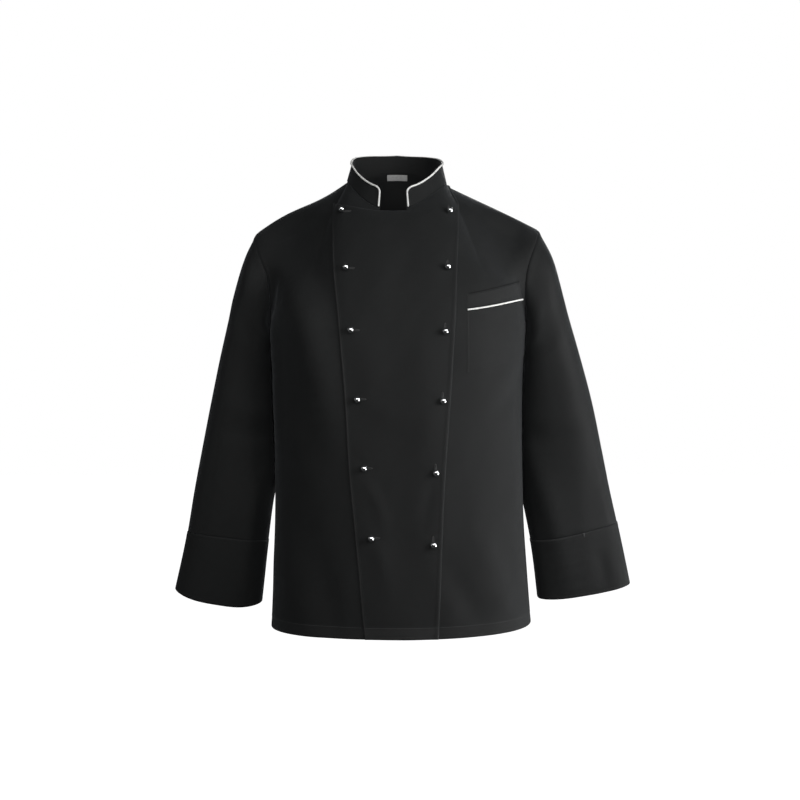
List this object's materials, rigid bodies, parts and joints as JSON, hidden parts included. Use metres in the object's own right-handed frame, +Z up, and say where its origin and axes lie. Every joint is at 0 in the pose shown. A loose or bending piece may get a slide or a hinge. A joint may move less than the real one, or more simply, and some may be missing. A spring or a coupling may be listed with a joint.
{
  "type": "chef jacket",
  "caption": "Long-sleeved double-breasted chef jacket with a piped stand collar, ball-stud closures, deep cuffs and a breast pocket, filled out as when worn.",
  "frame": {"origin": "middle of the neck, level with the shoulder seams' neck points, where the wearer's shoulders hold the jacket", "axes": "+Z up, the front looks along -Y, +X is the wearer's left"},
  "size_m": [0.7988, 0.2821, 0.8304],
  "materials": {
    "black_twill": "matt polyester-cotton twill",
    "white_piping": "matt woven piping",
    "grey_label": "woven label, blank",
    "polished_steel": "polished"
  },
  "bodies": {
    "root": {"right_front": "black_twill", "left_front": "black_twill", "front_overlap": "black_twill", "back": "black_twill", "collar": "black_twill", "right_sleeve": "black_twill", "left_sleeve": "black_twill", "right_cuff": "black_twill", "left_cuff": "black_twill", "pocket": "black_twill", "pocket_band": "black_twill", "collar_piping": "white_piping", "pocket_piping": "white_piping", "neck_label": "grey_label", "stud_right_1": "polished_steel", "stud_right_2": "polished_steel", "stud_right_3": "polished_steel", "stud_right_4": "polished_steel", "stud_right_5": "polished_steel", "stud_right_6": "polished_steel", "stud_left_1": "polished_steel", "stud_left_2": "polished_steel", "stud_left_3": "polished_steel", "stud_left_4": "polished_steel", "stud_left_5": "polished_steel", "stud_left_6": "polished_steel"}
  },
  "joints": []
}
